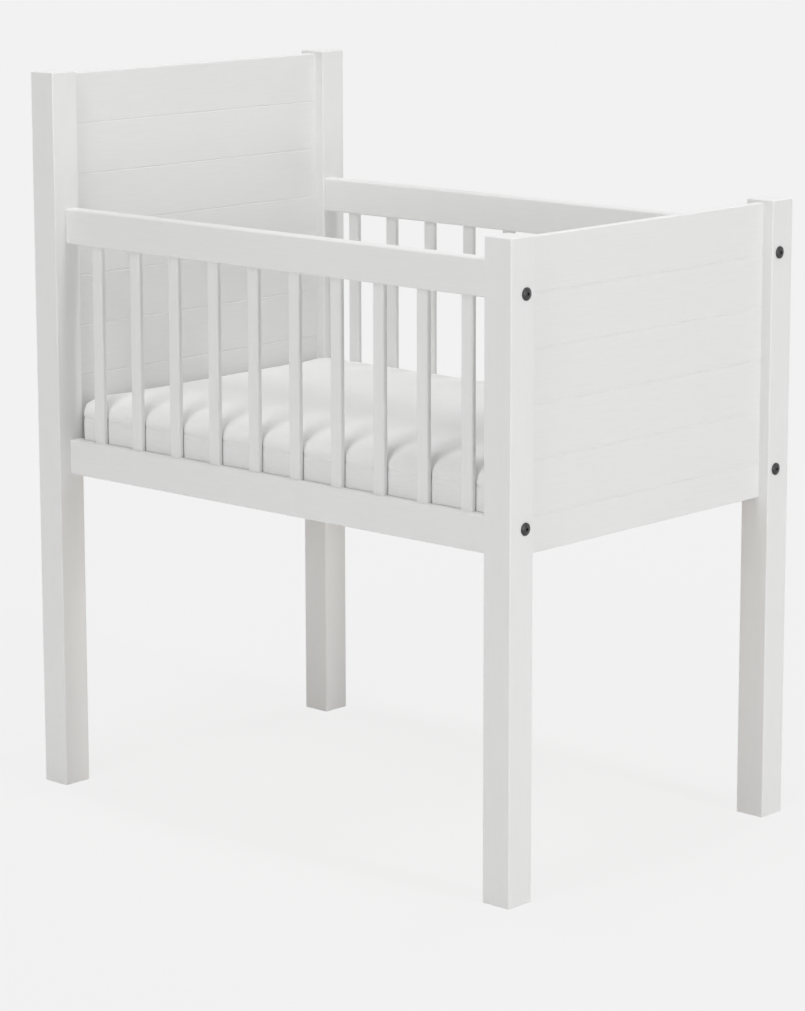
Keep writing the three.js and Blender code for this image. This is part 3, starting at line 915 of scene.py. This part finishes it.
def make_floor():
    """A pale floor that runs into the background, and darkens only where the cradle shades it."""
    deselect_all()
    bpy.ops.mesh.primitive_circle_add(vertices=FLOOR_SIDES, radius=FLOOR_RADIUS, fill_type="NGON")
    floor = bpy.context.object
    floor.name = "studio_floor"
    material = bpy.data.materials.new("studio_floor")
    material.use_nodes = True
    tree = material.node_tree
    tree.nodes.clear()
    diffuse = node(tree, "ShaderNodeBsdfDiffuse", (-300, 100), Color=FLOOR_COLOUR)
    glow = node(tree, "ShaderNodeEmission", (-300, -100), Color=BACKGROUND, Strength=1.0)
    mix = node(tree, "ShaderNodeMixShader", (0, 0))
    output = node(tree, "ShaderNodeOutputMaterial", (200, 0))
    place = node(tree, "ShaderNodeTexCoord", (-1300, -300))
    distance = node(tree, "ShaderNodeVectorMath", (-1100, -300), operation="LENGTH")
    reach = node(tree, "ShaderNodeMapRange", (-900, -300))
    for socket, value in zip(("From Min", "From Max", "To Min", "To Max"),
                             FLOOR_SHADOW_REACH + (1 - FLOOR_SHADOW, 1.0)):
        reach.inputs[socket].default_value = value
    reach.interpolation_type = "SMOOTHSTEP"
    share = node(tree, "ShaderNodeMath", (-600, -200), operation="MULTIPLY")
    tree.links.new(place.outputs["Object"], distance.inputs[0])
    tree.links.new(distance.outputs["Value"], reach.inputs["Value"])
    tree.links.new(seen_directly(tree, (-1300, 200)), share.inputs[0])
    tree.links.new(reach.outputs["Result"], share.inputs[1])
    tree.links.new(share.outputs["Value"], mix.inputs["Fac"])
    tree.links.new(diffuse.outputs["BSDF"], mix.inputs[1])
    tree.links.new(glow.outputs["Emission"], mix.inputs[2])
    tree.links.new(mix.outputs["Shader"], output.inputs["Surface"])
    floor.data.materials.append(material)


def add_lamp(name, place, wide, tall, power):
    """A soft lamp that looks at the middle of the cradle."""
    lamp = bpy.data.lights.new(name, "AREA")
    lamp.shape = "RECTANGLE"
    lamp.size, lamp.size_y = wide, tall
    lamp.energy = power
    item = bpy.data.objects.new(name, lamp)
    item.location = place
    sight = Vector(LAMPS_LOOK_AT) - Vector(place)
    item.rotation_euler = sight.to_track_quat("-Z", "Y").to_euler()
    bpy.context.scene.collection.objects.link(item)


def make_camera():
    camera = bpy.data.cameras.new("camera")
    camera.sensor_fit = "AUTO"
    camera.sensor_width = CAMERA_SENSOR
    camera.lens = CAMERA_LENS
    camera.shift_x, camera.shift_y = CAMERA_SHIFT
    camera.clip_end = CAMERA_REACH
    item = bpy.data.objects.new("camera", camera)
    item.location = CAMERA_PLACE
    item.rotation_euler = (math.radians(90 - CAMERA_ELEVATION), 0, math.radians(CAMERA_AZIMUTH))
    bpy.context.scene.collection.objects.link(item)
    bpy.context.scene.camera = item


make_camera()
make_world()
make_floor()
for lamp_values in LAMPS:
    add_lamp(*lamp_values)
bpy.context.scene.view_settings.view_transform = "Standard"

make_posts()
for end_name in ENDS:
    make_panel(end_name)
make_rails()
make_slats()
dress_base()
make_bolts()
make_mattress()
